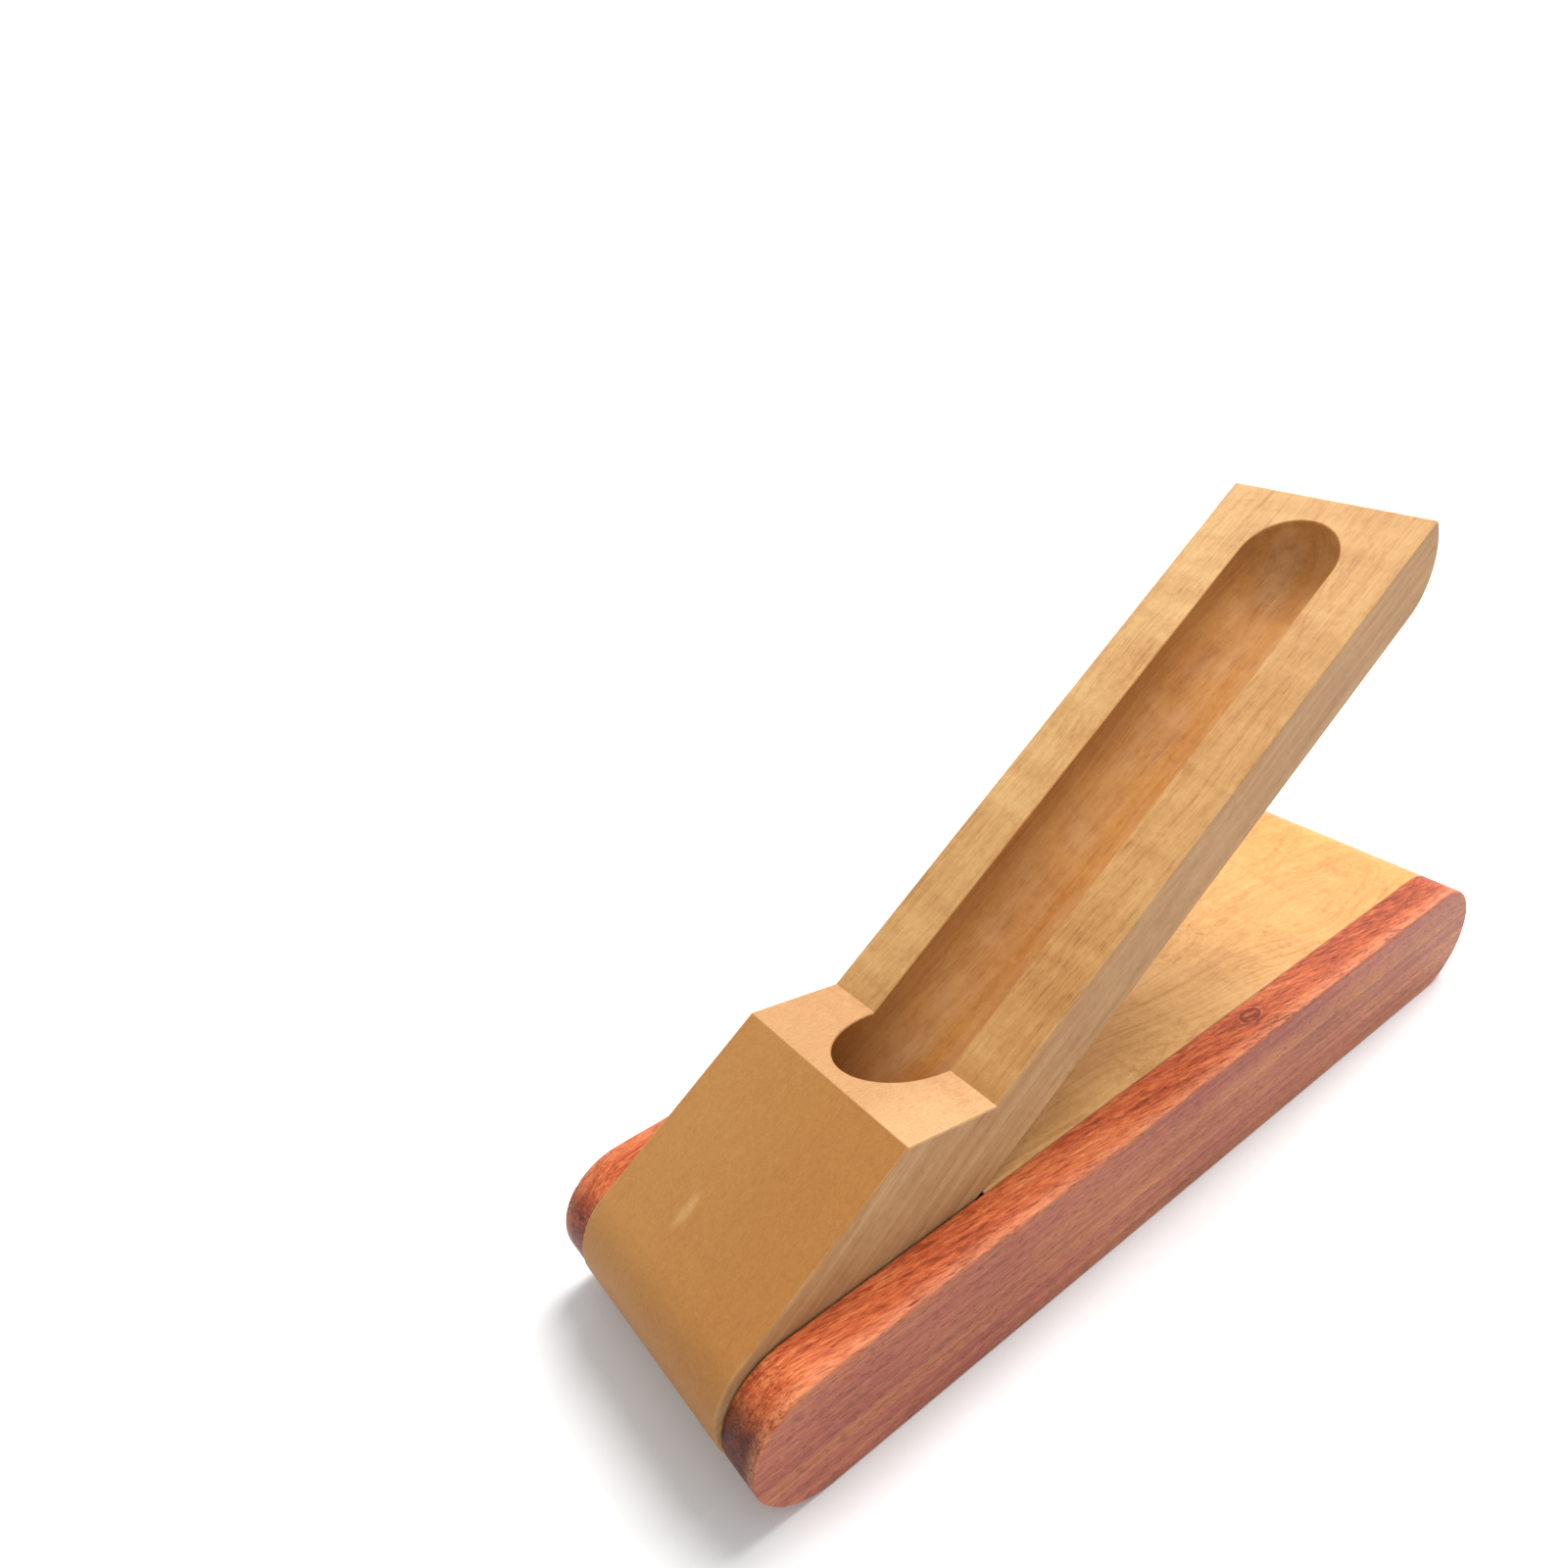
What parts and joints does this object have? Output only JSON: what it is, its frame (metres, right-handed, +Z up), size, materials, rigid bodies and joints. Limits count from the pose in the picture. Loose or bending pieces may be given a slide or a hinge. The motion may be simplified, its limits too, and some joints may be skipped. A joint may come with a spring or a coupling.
{
  "type": "fountain pen case",
  "caption": "Flip-open wooden pen case: a grooved tray turns on hidden pins between two rails and leans open at a slant, or lies closed under the fixed centre board.",
  "frame": {"origin": "bottom centre of the bounding box of the open case, on the surface it stands on", "axes": "+X along the case from its hinged end to its far end, +Y across it, +Z up; the right rail is at -Y"},
  "size_m": [0.1606, 0.05, 0.0901],
  "materials": {
    "rosewood": "satin lacquer over red-brown rosewood with dark streaks",
    "maple": "satin lacquer over honey maple with curl figure",
    "maple_tray": "satin lacquer over honey maple, sawn faces finer and duller",
    "steel": "bright drawn steel pin",
    "beech_dowel": "plain beech, glued"
  },
  "bodies": {
    "base": {"left_rail": "rosewood", "right_rail": "rosewood", "centre_board": "maple", "left_hinge_pin": "steel", "right_hinge_pin": "steel", "left_near_dowel": "beech_dowel", "left_middle_dowel": "beech_dowel", "left_far_dowel": "beech_dowel", "right_near_dowel": "beech_dowel", "right_middle_dowel": "beech_dowel", "right_far_dowel": "beech_dowel"},
    "tray": {"pen_tray": "maple_tray"}
  },
  "joints": [
    {"name": "tray_flip", "type": "hinge", "parent": "base", "child": "tray", "pos_m": [-0.07271, 0, 0.01], "axis": [0, -1, 0], "range_deg": [0, 328.47]}
  ]
}
